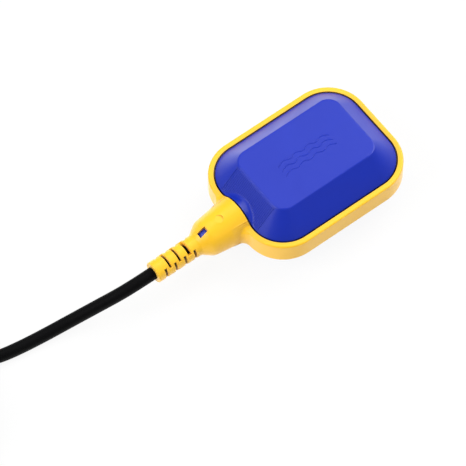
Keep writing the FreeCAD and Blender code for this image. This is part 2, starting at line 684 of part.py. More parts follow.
def turned_piece(label, corners):
    """A piece turned about the cable axis from a profile of (along, radius) corners."""
    body = new_body(label)
    sketch = new_sketch(body, "XY_Plane")
    polygon(sketch, corners)
    spin(body, "Revolution", sketch)
    return body


def cable_seal():
    """Rubber sleeve with two grooves, squeezed between the cable and the stem."""
    outer, inner, cut = "stem_bore - fit_gap", "cable_radius + fit_gap", "stem_bore - fit_gap - seal_groove"
    corners = [("-stem_bore_end_at", inner), ("-stem_bore_end_at", outer)]
    for share in (1, 2):
        start = "-stem_bore_end_at + seal_length * %d / 3 - seal_groove / 2" % share
        stop = start + " + seal_groove"
        corners += [(start, outer), (start, cut), (stop, cut), (stop, outer)]
    corners += [(SEAL_FRONT, outer), (SEAL_FRONT, inner)]
    return turned_piece("cable_seal", corners)


def cable_clamp():
    """Bridge that grips the sheath against the saddle in the lower shell."""
    body = new_body("cable_clamp")
    block(
        body, "Pad", ("-clamp_rear_at", "-clamp_rear_at + clamp_length"),
        ("-clamp_half_width", "clamp_half_width"), ("saddle_gap / 2", "clamp_height"),
    )
    channel = new_sketch(body, "XY_Plane")
    rectangle(channel, "-clamp_rear_at - 1", "-sheath_start_at + 1", "0", "cable_radius + fit_gap")
    spin(body, "Groove", channel)
    holes = new_sketch(body, "XY_Plane")
    for side in ("", "-"):
        circle(holes, CLAMP_MIDDLE, side + "clamp_screw_across", "screw_radius + fit_gap")
    extrude(body, "Pocket", holes, "clamp_height + 1")
    return body


def screws(label, places, across, seat, length="screw_length"):
    """Pan-head screws standing on a seat, in pairs on both sides of the centre line."""
    body = new_body(label)
    for along in places:
        sketch = new_sketch(body, "XZ_Plane", lift=across, right=along, up=seat)
        corners = [
            ("0", "-" + length),
            ("screw_radius / 2", "-" + length),
            ("screw_radius", "-" + length + " + screw_radius"),
            ("screw_radius", "0"),
            ("screw_head", "0"),
            ("screw_head", "screw_head_height / 2"),
            ("screw_head / 2", "screw_head_height"),
            ("0", "screw_head_height"),
        ]
        polygon(sketch, corners)
        screw = spin(body, "Revolution", sketch, axis="V_Axis")
        repeat_along(body, screw, "Y_Axis", "2", "2 * (%s)" % across)
    return body


# ---------------------------------------------------------------- switch capsule
SWITCH_REAR = "-switch_rear_at"
SWITCH_FRONT = "(switch_depth - switch_rear_at)"
PIVOT_X = "(switch_depth - switch_rear_at + pivot_ahead)"
PRESSED_X = "(%s + pivot_across * tan(lever_pressed) + lever_thickness / 2)" % PIVOT_X
BALL_X = "(%s + ball_gap + ball_radius + ball_travel)" % PRESSED_X
CAPSULE_FRONT = "(%s + ball_radius + ball_gap + capsule_wall)" % BALL_X
CAPSULE_LENGTH = "(%s + capsule_rear_at)" % CAPSULE_FRONT
CAPSULE_MIDDLE = "((%s - capsule_rear_at) / 2)" % CAPSULE_FRONT
CAPSULE_FLOOR = "-(ball_radius + ball_gap)"
TRAY_TOP = "(ball_radius + 2 * ball_gap)"
SCREW_REAR = "(capsule_screw_in - capsule_rear_at)"
SCREW_FRONT = "(%s - capsule_screw_in)" % CAPSULE_FRONT
SCREW_ACROSS = "(capsule_half_width - capsule_screw_in)"
BLADE_X = "(blade_at - switch_rear_at)"
OPEN_FACE = "(%s - contact_length - contact_gap)" % BLADE_X
CLOSED_FACE = "(%s + contact_length + moving_gap)" % BLADE_X
MOUNT_X = "(switch_hole_in - switch_rear_at)"
TABS = {"common_terminal": "blade_pivot_across", "closed_contact": "0", "open_contact": "-open_tab_across"}


def corner_circles(sketch, radius):
    for along in (SCREW_REAR, SCREW_FRONT):
        for side in ("", "-"):
            circle(sketch, along, side + SCREW_ACROSS, radius)


def mount_circles(sketch, radius):
    for side in ("", "-"):
        circle(sketch, MOUNT_X, side + "switch_hole_across", radius)


def capsule_tray():
    """Tray with the ball's track, the switch's seat and four screw posts."""
    body = new_body("capsule_tray")
    base = new_sketch(body, "XY_Plane", lift="-" + CAPSULE_TOP)
    outline(base, CAPSULE_LENGTH, "2 * capsule_half_width", "capsule_corner", CAPSULE_MIDDLE)
    extrude(body, "Pad", base, CAPSULE_TOP + " + " + TRAY_TOP)
    inside = new_sketch(body, "XY_Plane", lift=CAPSULE_FLOOR)
    outline(
        inside, CAPSULE_LENGTH + " - 2 * capsule_wall", "2 * (capsule_half_width - capsule_wall)",
        "capsule_corner - capsule_wall / 2", CAPSULE_MIDDLE,
    )
    extrude(body, "Pocket", inside, "2 * " + CAPSULE_TOP)
    posts = new_sketch(body, "XY_Plane", lift="-(ball_radius + ball_gap + 1)")
    corner_circles(posts, "screw_post")
    extrude(body, "Pad", posts, TRAY_TOP + " + ball_radius + ball_gap + 1")
    across = ("-switch_half_width", "switch_half_width")
    block(body, "Pad", (SWITCH_REAR, SWITCH_FRONT), across,
          ("-(ball_radius + ball_gap + 1)", "-switch_half_height - fit_gap"))
    for low, high in (("ball_radius + ball_gap", "ball_radius + ball_gap + rail_thickness"),
                      ("-ball_radius - ball_gap - rail_thickness", "-ball_radius - ball_gap")):
        block(body, "Pad", ("rail_start", CAPSULE_FRONT + " - capsule_wall / 2"), (low, high),
              ("-(ball_radius + ball_gap + 1)", "rail_height - ball_radius"))
    block(
        body, "Pocket", ("-capsule_rear_at - 1", "-capsule_rear_at + capsule_wall + 1"),
        ("-core_hole / 2", "core_hole / 2"), ("-core_hole_half", "core_hole_half"),
    )
    holes = new_sketch(body, "XY_Plane", lift=TRAY_TOP)
    corner_circles(holes, "screw_radius + fit_gap")
    extrude(body, "Pocket", holes, "screw_length", upwards=False)
    seats = new_sketch(body, "XY_Plane", lift="-switch_half_height")
    mount_circles(seats, "screw_radius + fit_gap")
    extrude(body, "Pocket", seats, "screw_length / 2", upwards=False)
    return body


def capsule_lid():
    """Flat lid that closes the tray."""
    body = new_body("capsule_lid")
    plate = new_sketch(body, "XY_Plane", lift=TRAY_TOP + " + fit_gap / 2")
    outline(plate, CAPSULE_LENGTH, "2 * capsule_half_width", "capsule_corner", CAPSULE_MIDDLE)
    corner_circles(plate, "screw_radius + fit_gap")
    extrude(body, "Pad", plate, "lid_thickness - fit_gap / 2")
    heads = new_sketch(body, "XY_Plane", lift=CAPSULE_TOP)
    corner_circles(heads, "screw_head + fit_gap")
    extrude(body, "Pocket", heads, "lid_thickness / 2", upwards=False)
    return body


def switch_case():
    """Moulded case of the snap switch, open on top, with ears for the lever's pin."""
    body = new_body("switch_case")
    top = "(switch_half_height - switch_cover_thickness)"
    wide = ("-switch_half_width", "switch_half_width")
    block(body, "Pad", (SWITCH_REAR, SWITCH_FRONT), wide, ("-switch_half_height", top))
    narrow = ("-switch_half_width + switch_wall", "switch_half_width - switch_wall")
    block(body, "Pocket", (SWITCH_REAR + " + switch_wall", SWITCH_FRONT + " - switch_wall"), narrow,
          ("-switch_half_height + switch_wall", "switch_half_height"))
    bosses = new_sketch(body, "XY_Plane", lift="-switch_half_height + switch_wall / 2")
    mount_circles(bosses, "switch_boss")
    extrude(body, "Pad", bosses, top + " + switch_half_height - switch_wall / 2")
    ear_top = "(ear_inside + ear_thickness)"
    block(body, "Pad", (SWITCH_FRONT + " - switch_wall / 2", PIVOT_X),
          ("-pivot_across - ear_radius", "-pivot_across + ear_radius"), ("-" + ear_top, ear_top))
    eye = new_sketch(body, "XY_Plane")
    circle(eye, PIVOT_X, "-pivot_across", "ear_radius")
    extrude(body, "Pad", eye, "2 * " + ear_top, symmetric=True)
    block(body, "Pocket", (SWITCH_FRONT, PIVOT_X + " + 2 * ear_radius"),
          ("-pivot_across - 2 * ear_radius", "-pivot_across + 2 * ear_radius"), ("-ear_inside", "ear_inside"))
    bore = new_sketch(body, "XY_Plane")
    circle(bore, PIVOT_X, "-pivot_across", "pin_radius + fit_gap")
    extrude(body, "Pocket", bore, "4 * " + ear_top, symmetric=True)
    holes = new_sketch(body, "XY_Plane")
    mount_circles(holes, "switch_hole")
    extrude(body, "Pocket", holes, "4 * switch_half_height", symmetric=True)
    low, high = ("plunger_arm - pivot_across %s (plunger_half_width + moving_gap)" % sign for sign in "-+")
    block(body, "Pocket", (SWITCH_FRONT + " - 2 * switch_wall", SWITCH_FRONT + " + 1"), (low, high),
          ("-plunger_half_height - moving_gap", "plunger_half_height + moving_gap"))
    for place in TABS.values():
        block(body, "Pocket", (SWITCH_REAR + " - 1", SWITCH_REAR + " + switch_wall + 1"),
              (place + " - tab_thickness / 2 - fit_gap", place + " + tab_thickness / 2 + fit_gap"),
              ("-tab_half_height - fit_gap", "tab_half_height + fit_gap"))
    return body


def switch_cover():
    body = new_body("switch_cover")
    plate = new_sketch(body, "XY_Plane", lift="switch_half_height - switch_cover_thickness + fit_gap")
    rectangle(plate, SWITCH_REAR, SWITCH_FRONT, "-switch_half_width", "switch_half_width")
    mount_circles(plate, "switch_hole")
    extrude(body, "Pad", plate, "switch_cover_thickness - fit_gap")
    return body


def rivet(body, start, length, across, height="0"):
    """A contact point standing along X from its strip."""
    sketch = new_sketch(body, "YZ_Plane", lift=start)
    circle(sketch, across, height, "contact_radius")
    extrude(body, "Pad", sketch, length)


def terminal(label, inner_end):
    """A push-on tab through the switch's rear wall."""
    body = new_body(label)
    place = TABS[label]
    block(body, "Pad", (SWITCH_REAR + " - tab_reach", inner_end),
          (place + " - tab_thickness / 2", place + " + tab_thickness / 2"),
          ("-tab_half_height", "tab_half_height"))
    return body


def common_terminal():
    """Its inner end is hollowed to seat the blade's rolled end."""
    body = terminal("common_terminal", BLADE_X + " - blade_thickness")
    seat = new_sketch(body, "XY_Plane")
    circle(seat, BLADE_X, "blade_pivot_across", "blade_roll + moving_gap / 2")
    extrude(body, "Pocket", seat, "4 * tab_half_height", symmetric=True)
    return body


def open_contact():
    leg = OPEN_FACE + " - contact_length - tab_thickness"
    body = terminal("open_contact", leg + " + tab_thickness")
    block(body, "Pad", (leg, leg + " + tab_thickness"),
          ("-blade_end", "-open_tab_across + tab_thickness / 2"), ("-tab_half_height", "tab_half_height"))
    rivet(body, leg + " + tab_thickness / 2", "contact_length + tab_thickness / 2", "-contact_across")
    return body


def closed_contact():
    """The strip runs under the blade and the plunger, and stands up in front of the blade's end."""
    body = terminal("closed_contact", SWITCH_REAR + " + 2 * switch_wall")
    low = "(-arm_lift - tab_thickness)"
    front = "(%s + contact_length + tab_thickness)" % CLOSED_FACE
    end = "-blade_end - fit_gap"
    strip = new_sketch(body, "XY_Plane", lift=low)
    corners = [
        (SWITCH_REAR + " + 1.5 * switch_wall", "-tab_thickness"),
        (front + " - 2 * tab_thickness", "-tab_thickness"),
        (front + " - 2 * tab_thickness", end),
        (front, end),
        (front, "tab_thickness"),
        (SWITCH_REAR + " + 1.5 * switch_wall", "tab_thickness"),
    ]
    polygon(strip, corners)
    extrude(body, "Pad", strip, "tab_thickness")
    block(body, "Pad", (SWITCH_REAR + " + 1.5 * switch_wall", SWITCH_REAR + " + 2 * switch_wall"),
          ("-tab_thickness / 2", "tab_thickness / 2"), (low, "-tab_half_height + tab_thickness"))
    stand = "-contact_across + contact_radius"
    block(body, "Pad", (front + " - tab_thickness", front), (end, stand), (low, "contact_radius"))
    rivet(body, CLOSED_FACE, "contact_length + tab_thickness / 2", "-contact_across")
    return body


def receptacles():
    """Push-on sleeves on the three tabs, closed where the cores enter."""
    body = new_body("receptacles")
    start = "%s - fit_gap - receptacle_length" % SWITCH_REAR
    sleeves = new_sketch(body, "YZ_Plane", lift=start)
    ends = new_sketch(body, "YZ_Plane", lift=start + " - receptacle_wall")
    for place in TABS.values():
        for sketch, grow in ((sleeves, "fit_gap"), (sleeves, "fit_gap + receptacle_wall"),
                             (ends, "fit_gap + receptacle_wall")):
            half, tall = "(tab_thickness / 2 + %s)" % grow, "(tab_half_height + %s)" % grow
            rectangle(sketch, place + " - " + half, place + " + " + half, "-" + tall, tall)
    extrude(body, "Pad", sleeves, "receptacle_length")
    extrude(body, "Pad", ends, "receptacle_wall")
    return body


# ---------------------------------------------------------------- moving pieces
def place_at(body, x, y):
    body.setExpression(".Placement.Base.x", bound(x))
    body.setExpression(".Placement.Base.y", bound(y))


def ball():
    """Solid steel ball that rolls along the capsule."""
    sphere = doc.addObject("Part::Sphere", "ball")
    sphere.Label = "ball"
    sphere.setExpression("Radius", bound("ball_radius"))
    place_at(sphere, BALL_X, "0")
    sphere.setExpression(".Placement.Base.z", bound("mid_height"))
    return sphere


def switch_lever():
    """Spring-steel lever with its eye round the pin, drawn along Y and turned to its free angle."""
    body = new_body("switch_lever", turn=value("lever_free"), about=Vector(0, 0, -1))
    body.setExpression(".Placement.Rotation.Angle", bound("lever_free"))
    place_at(body, PIVOT_X, "-pivot_across")
    eye = new_sketch(body, "XY_Plane")
    circle(eye, "0", "0", "eye_radius")
    extrude(body, "Pad", eye, "2 * lever_half_width", symmetric=True)
    block(body, "Pad", ("-lever_thickness / 2", "lever_thickness / 2"), ("0", "lever_length"),
          ("-lever_half_width", "lever_half_width"))
    bore = new_sketch(body, "XY_Plane")
    circle(bore, "0", "0", "pin_radius + pin_clearance")
    extrude(body, "Pocket", bore, "4 * lever_half_width", symmetric=True)
    return body


def switch_plunger():
    """Plunger between the lever and the contact blade, with a rounded tip."""
    body = new_body("switch_plunger")
    rear = BLADE_X + " + blade_thickness / 2 + moving_gap"
    lever_face = "plunger_arm * tan(lever_free) - lever_thickness / 2 / cos(lever_free)"
    tip = "(%s + %s - moving_gap)" % (PIVOT_X, lever_face)
    middle = "plunger_arm - pivot_across"
    block(body, "Pad", (rear, tip), (middle + " - plunger_half_width", middle + " + plunger_half_width"),
          ("-plunger_half_height", "plunger_half_height"))
    where = value(tip)
    round_edges(body, "plunger_tip", lambda edge: abs(edge.CenterOfMass.x - where) < TINY
                and abs(edge.Vertexes[0].Z - edge.Vertexes[1].Z) > TINY)
    return body


def contact_blade():
    """Moving contact blade, with a rolled end that turns in the common terminal's seat."""
    body = new_body("contact_blade")
    block(body, "Pad", (BLADE_X + " - blade_thickness / 2", BLADE_X + " + blade_thickness / 2"),
          ("-blade_end", "blade_pivot_across"), ("-blade_half_height", "blade_half_height"))
    roll = new_sketch(body, "XY_Plane")
    circle(roll, BLADE_X, "blade_pivot_across", "blade_roll")
    extrude(body, "Pad", roll, "2 * blade_half_height", symmetric=True)
    rivet(body, BLADE_X + " - contact_length", "2 * contact_length", "-contact_across")
    return body


# ---------------------------------------------------------------- cable
def tube_path(points):
    """Straight runs joined by tangent arcs, and the radius of each arc."""
    corners = [Vector(*point) for point in points]
    edges, radii, start = [], [], corners[0]
    for before, corner, after in zip(corners, corners[1:], corners[2:]):
        arriving, leaving = corner - before, after - corner
        turn = arriving.getAngle(leaving)
        setback = 0.45 * min(arriving.Length, leaving.Length)
        radius = setback / math.tan(turn / 2)
        enter = corner - arriving.normalize() * setback
        leave = corner + leaving.normalize() * setback
        inward = (leaving - arriving).normalize()
        middle = corner + inward * (radius / math.cos(turn / 2) - radius)
        edges.append(Part.LineSegment(start, enter).toShape())
        edges.append(Part.Arc(enter, middle, leave).toShape())
        radii.append(radius)
        start = leave
    edges.append(Part.LineSegment(start, corners[-1]).toShape())
    return Part.Wire(edges), radii


def tube(label, points, radius_name):
    """A round tube along a hand-chosen route."""
    path, radii = tube_path(points)
    radius = value(radius_name)
    first = path.Edges[0]
    section = Part.Circle(Vector(*points[0]), first.tangentAt(first.FirstParameter), radius)
    solid = path.makePipeShell([Part.Wire([section.toShape()])], True, False)
    piece = doc.addObject("Part::Feature", label)
    piece.Label = label
    piece.Shape = solid
    share = solid.Volume / (math.pi * radius * radius * path.Length)
    print("%s: length %.1f mm, radii %s, volume share %.4f" % (
        label, path.Length, [round(size, 1) for size in radii], share))
    if abs(share - 1) > 0.02:
        raise ValueError(label + " has the wrong volume for its length")
    return piece


def hexagon(sketch, across_flats):
    """A regular hexagon with a flat underside, round the middle of the coil's bundle."""
    reach = "((%s) / 2 / cos(30))" % across_flats
    height = "(coil_base + (1 + sqrt(3)) * cable_radius)"
    corners = [
        ("coil_across / 2 + %s * cos(%d)" % (reach, angle), "%s + %s * sin(%d)" % (height, reach, angle))
        for angle in range(0, 360, 60)
    ]
    polygon(sketch, corners)


BUNDLE = "(2 * (1 + sqrt(3)) * cable_radius)"


def coil_body(label):
    body = doc.addObject("PartDesign::Body", label)
    body.Label = label
    body.AllowCompound = True
    body.Placement.Base = Vector(*COIL_CENTRE, 0)
    return body


def cable_coil():
    """Outer form of the coil: seven turns packed two, three and two."""
    body = coil_body("cable_coil")
    sketch = new_sketch(body, "XZ_Plane")
    hexagon(sketch, BUNDLE)
    spin(body, "Revolution", sketch, axis="V_Axis")
    round_edges(body, "cable_radius", lambda edge: isinstance(edge.Curve, Part.Circle))
    return body


def coil_ties():
    """Two straps round the bundle, on opposite sides of the coil."""
    body = coil_body("coil_ties")
    sketch = new_sketch(body, "XZ_Plane")
    hexagon(sketch, BUNDLE + " + 2 * tie_thickness")
    span = "4 * tie_half_width / coil_across * 180 / pi"
    strap = spin(body, "Revolution", sketch, span, symmetric=True, axis="V_Axis")
    repeat_about(body, strap, "Z_Axis", "2", "180")
    round_edges(body, "cable_radius + tie_thickness", lambda edge: isinstance(edge.Curve, Part.Circle))
    inside = new_sketch(body, "XZ_Plane")
    hexagon(inside, BUNDLE + " + 2 * fit_gap")
    spin(body, "Groove", inside, axis="V_Axis")
    return body


def tinned_ends(routes):
    """Tinned strands beyond the insulation of each stripped core."""
    piece = doc.addObject("Part::Feature", "tinned_ends")
    piece.Label = "tinned_ends"
    ends = []
    for points in routes:
        last = Vector(*points[-1])
        along = last - Vector(*points[-2])
        ends.append(Part.makeCylinder(value("tinned_radius"), value("tinned_length"), last, along))
    piece.Shape = Part.makeCompound(ends)
    return piece


def main():
    pieces = [shell("upper_shell", False), shell("lower_shell", True), guard_frame()]
    sheath = ["0", "cable_radius"]
    pieces.append(turned_piece("cable_entry", [
        ("-sheath_start_at", sheath[0]), ("-sheath_start_at", sheath[1]),
        ("-boot_end_at", sheath[1]), ("-boot_end_at", sheath[0])]))
    pieces.append(cable_seal())
    pieces.append(turned_piece("seal_washer", [
        (SEAL_FRONT, "cable_radius + fit_gap"), (SEAL_FRONT, "stem_bore - fit_gap"),
        (SEAL_FRONT + " + washer_thickness", "stem_bore - fit_gap"),
        (SEAL_FRONT + " + washer_thickness", "cable_radius + fit_gap")]))
    pieces += [cable_clamp(), screws("clamp_screws", [CLAMP_MIDDLE], "clamp_screw_across", "clamp_height")]
    pieces += [capsule_tray(), capsule_lid()]
    head_seat = CAPSULE_TOP + " - lid_thickness / 2"
    pieces.append(screws("capsule_screws", [SCREW_REAR, SCREW_FRONT], SCREW_ACROSS, head_seat))
    pieces += [switch_case(), switch_cover()]
    pieces.append(screws("switch_screws", [MOUNT_X], "switch_hole_across", "switch_half_height",
                         "switch_screw_length"))
    pieces += [common_terminal(), open_contact(), closed_contact(), receptacles()]
    pin = new_body("lever_pin")
    shaft = new_sketch(pin, "XY_Plane")
    circle(shaft, PIVOT_X, "-pivot_across", "pin_radius")
    extrude(pin, "Pad", shaft, "2 * pin_half_length", symmetric=True)
    pieces += [pin, ball(), switch_lever(), switch_plunger(), contact_blade()]

    lift = value("mid_height")
    rear = value("%s - fit_gap - receptacle_length - receptacle_wall" % SWITCH_REAR)
    start, lead = -value("sheath_start_at"), value("core_lead")
    cores = {"core_brown": (30, "common_terminal"), "core_black": (270, "closed_contact"),
             "core_blue": (150, "open_contact")}
    for label, (angle, tab) in cores.items():
        side = value("core_pitch") * math.cos(math.radians(angle))
        rise = value("core_pitch") * math.sin(math.radians(angle)) + lift
        across = value(TABS[tab])
        route = [(start, side, rise), (start + lead, side, rise),
                 (rear - lead, across, lift), (rear, across, lift)]
        pieces.append(tube(label, route, "core_radius"))

    pieces.append(tube("cable", CABLE_ROUTE, "cable_radius"))
    pieces += [cable_coil(), coil_ties(), tube("cable_end", END_ROUTE, "cable_radius")]
    end = END_ROUTE[-1]
    tails = {}
    for label, offsets in TAIL_ROUTES.items():
        tails[label] = [tuple(a + b for a, b in zip(end, offset)) for offset in offsets]
        pieces.append(tube(label, tails[label], "tail_core_radius"))
    pieces.append(tinned_ends(tails.values()))

    doc.recompute()
    failed = [item.Name for item in doc.Objects if "Invalid" in item.State or "Error" in item.State]
    for piece in pieces:
        shape = piece.Shape
        if shape.isNull() or not shape.isValid() or not shape.Solids:
            failed.append(piece.Label)
    if failed:
        raise RuntimeError("these objects failed: " + ", ".join(failed))
    os.makedirs("parts", exist_ok=True)
    for piece in pieces:
        piece.Shape.exportStep("parts/%s.step" % piece.Label)
        print("%-16s %d solid, %9.1f mm3" % (piece.Label, len(piece.Shape.Solids), piece.Shape.Volume))


main()
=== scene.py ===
import math

import bpy
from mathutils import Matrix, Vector


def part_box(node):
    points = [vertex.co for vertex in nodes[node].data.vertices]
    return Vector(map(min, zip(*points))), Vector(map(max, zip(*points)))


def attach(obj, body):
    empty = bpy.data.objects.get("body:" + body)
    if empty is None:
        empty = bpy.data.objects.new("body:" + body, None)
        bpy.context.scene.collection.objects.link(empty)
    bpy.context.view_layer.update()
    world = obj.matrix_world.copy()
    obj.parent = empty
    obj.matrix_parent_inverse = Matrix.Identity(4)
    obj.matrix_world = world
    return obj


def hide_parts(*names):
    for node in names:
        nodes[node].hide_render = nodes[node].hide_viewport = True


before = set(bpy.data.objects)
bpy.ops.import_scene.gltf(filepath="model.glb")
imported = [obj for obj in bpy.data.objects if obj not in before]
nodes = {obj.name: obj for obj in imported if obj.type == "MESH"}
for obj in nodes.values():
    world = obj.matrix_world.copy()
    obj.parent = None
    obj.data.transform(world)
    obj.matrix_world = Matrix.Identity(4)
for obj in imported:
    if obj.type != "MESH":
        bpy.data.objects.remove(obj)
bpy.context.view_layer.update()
bpy.ops.object.select_all(action="DESELECT")
scene = bpy.context.scene
MM = 0.001


# ---------------------------------------------------------------- camera
# A long lens 2.5 m away looks down at the float from its cable end, slightly from the left.
# The azimuth turns from the front (-Y) towards +X, and the elevation rises from the table.
LENS_MM = 341.0
SENSOR_MM = 36
CAMERA_AWAY = 2500 * MM
CAMERA_REACH = 20
AZIMUTH = math.radians(-37.19)
ELEVATION = math.radians(60.19)
AIM = Vector((-57.0 * MM, -6.5 * MM, 21.2 * MM))

towards_camera = Vector((
    math.sin(AZIMUTH) * math.cos(ELEVATION),
    -math.cos(AZIMUTH) * math.cos(ELEVATION),
    math.sin(ELEVATION),
))
camera_data = bpy.data.cameras.new("camera")
camera_data.lens = LENS_MM
camera_data.sensor_width = SENSOR_MM
camera_data.clip_end = CAMERA_REACH
camera = bpy.data.objects.new("camera", camera_data)
camera.location = AIM + towards_camera * CAMERA_AWAY
camera.rotation_euler = (-towards_camera).to_track_quat("-Z", "Y").to_euler()
scene.collection.objects.link(camera)
scene.camera = camera


# ---------------------------------------------------------------- table and light
# A white table top in a dim white room. Two strong softboxes hang beyond the float's nose and
# beyond its cable end, and two weaker ones behind it and in front.
TABLE_HALF = 3.0
TABLE_WHITE = "#F2F2F2"
TABLE_GLOW = 0.92  # the share of pure white in the table as the camera and reflections see it
LIT_BEHIND = 0.9  # how much brighter its reflection is behind the float
LIT_FROM, LIT_TO = -0.05, 0.08  # metres of y - x over which it brightens
PURE_WHITE = "#FFFFFF"
ROOM_STRENGTH = 0.235
LAMP_AWAY = 1.9


def hex_colour(code):
    """Linear red, green, blue and alpha of an sRGB hex colour."""
    shares = [int(code[i:i + 2], 16) / 255 for i in (1, 3, 5)]
    linear = [c / 12.92 if c <= 0.04045 else ((c + 0.055) / 1.055) ** 2.4 for c in shares]
    return (*linear, 1.0)


def add_node(tree, kind, settings=(), links=()):
    """Adds a node. Settings go to its sockets or its own properties, and links give a source to
    a socket."""
    node = tree.nodes.new("ShaderNode" + kind)
    for name, setting in dict(settings).items():
        if isinstance(name, str) and hasattr(node, name):
            setattr(node, name, setting)
        else:
            node.inputs[name].default_value = setting
    for name, source in dict(links).items():
        tree.links.new(source, node.inputs[name])
    return node


def new_material(name):
    """An empty material and its node tree."""
    material = bpy.data.materials.new(name)
    material.use_nodes = True
    material.node_tree.nodes.clear()
    return material, material.node_tree


def put_material(material, *pieces):
    """The material takes the place of whatever each piece wore."""
    for piece in pieces:
        piece.data.materials.clear()
        piece.data.materials.append(material)


bpy.ops.mesh.primitive_plane_add(size=2 * TABLE_HALF, location=(0, 0, 0))
table = bpy.context.object
table.name = "table"
# White laminate: the camera and reflections see it as nearly pure white, with a faint shadow. What
# the float reflects is brighter behind it and beyond its cable end than beyond its nose.
laminate, tree = new_material("white_laminate")
rays = add_node(tree, "LightPath")
seen = add_node(tree, "Math", {"operation": "MAXIMUM"},
                {0: rays.outputs["Is Camera Ray"], 1: rays.outputs["Is Glossy Ray"]})
share = add_node(tree, "Math", {"operation": "MULTIPLY", 1: TABLE_GLOW}, {0: seen.outputs[0]})
matte = add_node(tree, "BsdfDiffuse", {"Color": hex_colour(TABLE_WHITE)})
place = add_node(tree, "TexCoord").outputs["Object"]
behind = add_node(tree, "VectorMath", {"operation": "DOT_PRODUCT", 1: (-1.0, 1.0, 0.0)}, {0: place})
lit = add_node(tree, "MapRange", {"From Min": LIT_FROM, "From Max": LIT_TO, "To Max": LIT_BEHIND},
               {"Value": behind.outputs["Value"]})
strength = add_node(tree, "Math", {"operation": "MULTIPLY_ADD", 2: 1.0},
                    {0: lit.outputs[0], 1: rays.outputs["Is Glossy Ray"]})
glow = add_node(tree, "Emission", {"Color": hex_colour(PURE_WHITE)},
                {"Strength": strength.outputs[0]})
mixed = add_node(tree, "MixShader", {},
                 {0: share.outputs[0], 1: matte.outputs[0], 2: glow.outputs[0]})
add_node(tree, "OutputMaterial", {}, {"Surface": mixed.outputs[0]})
put_material(laminate, table)

# The room lights the float dimly, and the camera sees it as pure white.
world = bpy.data.worlds.new("studio")
world.use_nodes = True
world.node_tree.nodes.clear()
tree = world.node_tree
rays = add_node(tree, "LightPath")
seen = add_node(tree, "Math", {"operation": "MAXIMUM"},
                {0: rays.outputs["Is Camera Ray"], 1: rays.outputs["Is Transmission Ray"]})
dim = add_node(tree, "Background", {"Color": hex_colour(PURE_WHITE), "Strength": ROOM_STRENGTH})
white = add_node(tree, "Background", {"Color": hex_colour(PURE_WHITE), "Strength": 1.0})
mixed = add_node(tree, "MixShader", {},
                 {0: seen.outputs[0], 1: dim.outputs[0], 2: white.outputs[0]})
add_node(tree, "OutputWorld", {}, {"Surface": mixed.outputs[0]})
scene.world = world


def softbox(name, azimuth, lean, size, power):
    """A square area lamp at an azimuth from +X, leaning from the zenith, that faces the float."""
    azimuth, lean = math.radians(azimuth), math.radians(lean)
    outwards = Vector((
        math.sin(lean) * math.cos(azimuth),
        math.sin(lean) * math.sin(azimuth),
        math.cos(lean),
    ))
    lamp = bpy.data.lights.new(name, "AREA")
    lamp.size = size
    lamp.energy = power
    holder = bpy.data.objects.new(name, lamp)
    holder.location = AIM + outwards * LAMP_AWAY
    holder.rotation_euler = outwards.to_track_quat("Z", "Y").to_euler()
    scene.collection.objects.link(holder)


softbox("softbox_behind", azimuth=78, lean=28, size=1.1, power=6.8)
softbox("softbox_nose", azimuth=5, lean=49, size=1.5, power=34.0)
softbox("softbox_cable_end", azimuth=166, lean=50, size=1.2, power=25.5)
softbox("softbox_front", azimuth=-75, lean=45, size=1.2, power=3.0)
scene.view_settings.view_transform = "Standard"


# ---------------------------------------------------------------- shells
# Two half-shells injection-moulded in blue polypropylene and joined on the frame's mid-plane.
# The satin skin carries the mould's spark-eroded grain and slow flow marks. Its edges are painted
# paler, part wear and part painted highlight.
SHELL_BLUE = "#1831B2"
SHELL_FLOW = "#152CA8"
# The shells' edges turn this paler blue: part wear, part painted highlight.
SHELL_WEAR_AND_HIGHLIGHT = "#4056D0"

# What all the moulded pieces share.
MOULDED_IOR = 1.49
FLOW_MARKS_MM = 24
FLOW_LOW, FLOW_HIGH = 0.3, 0.7  # the marks' usual range, over which the gloss changes
GLOSS_SWING = 0.04
EDGE_RADIUS = 0.12 * MM
EDGE_STARTS, EDGE_FULL = 0.995, 0.9  # rounded normal along the true one, where the paler edge of wear and painted highlight shows
WEAR_AND_HIGHLIGHT_SHARE = 0.5
# Painted shade: narrow gaps and crevices are darkened towards this near black.
PAINTED_SHADE_COLOUR = "#070606"
PAINTED_SHADE_REACH = 2.2 * MM
PAINTED_SHADE_FULL, PAINTED_SHADE_ENDS = 0.15, 0.48  # how open a place is where the painted shade is thickest and where none is

# Sockets of a Mix node that mixes colours.
MIX_SHARE, MIX_FIRST, MIX_SECOND, MIX_RESULT = 0, 6, 7, 2


